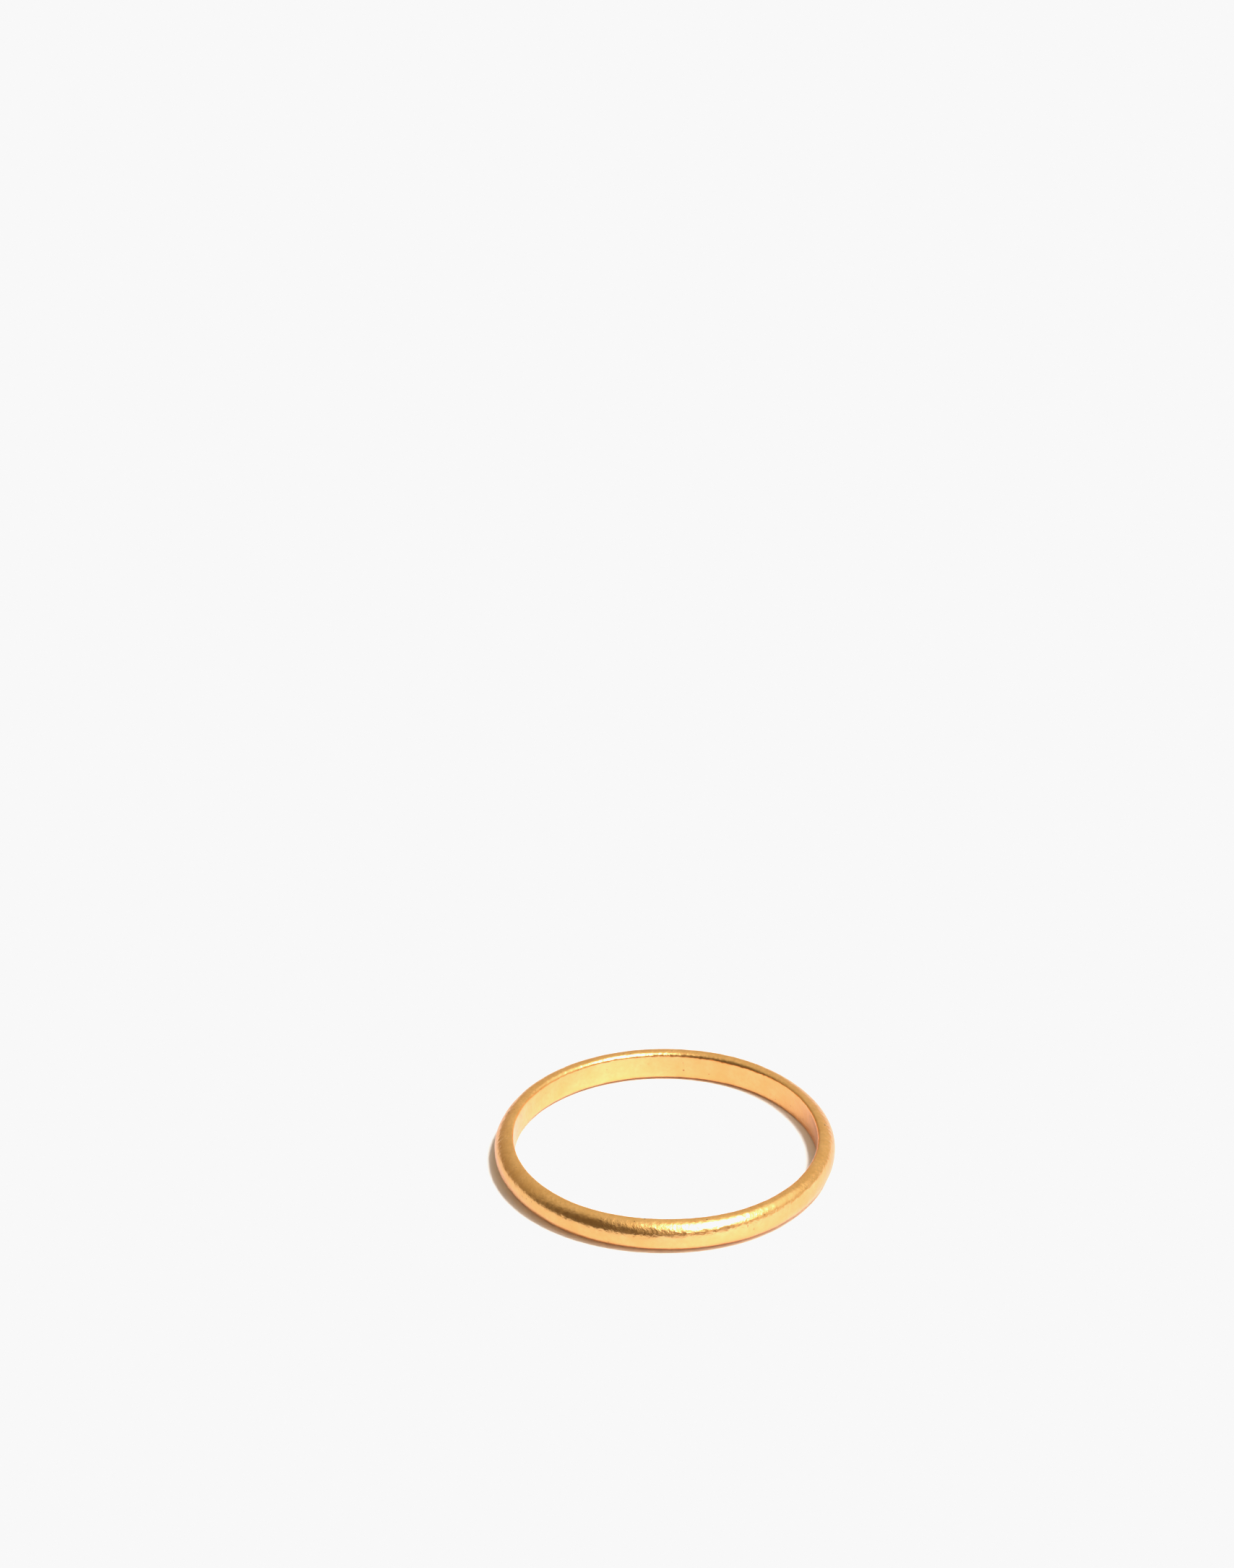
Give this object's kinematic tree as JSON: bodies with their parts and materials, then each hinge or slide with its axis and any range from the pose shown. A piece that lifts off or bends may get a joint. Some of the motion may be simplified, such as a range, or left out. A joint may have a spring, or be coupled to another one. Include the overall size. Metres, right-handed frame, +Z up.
{
  "type": "stackable ring",
  "caption": "Thin plain finger ring in satin gold, with a straight bore, rounded inner edges, narrow flat sides and a softly domed outside.",
  "frame": {"origin": "under the middle of the finger hole, on the surface that the ring lies on", "axes": "+Z up along the finger's axis, +X to the right in the picture, +Y away from its camera"},
  "size_m": [0.0194, 0.0192, 0.0018],
  "materials": {
    "satin_gold": "satin, gold plated"
  },
  "bodies": {
    "root": {"band": "satin_gold"}
  },
  "joints": []
}
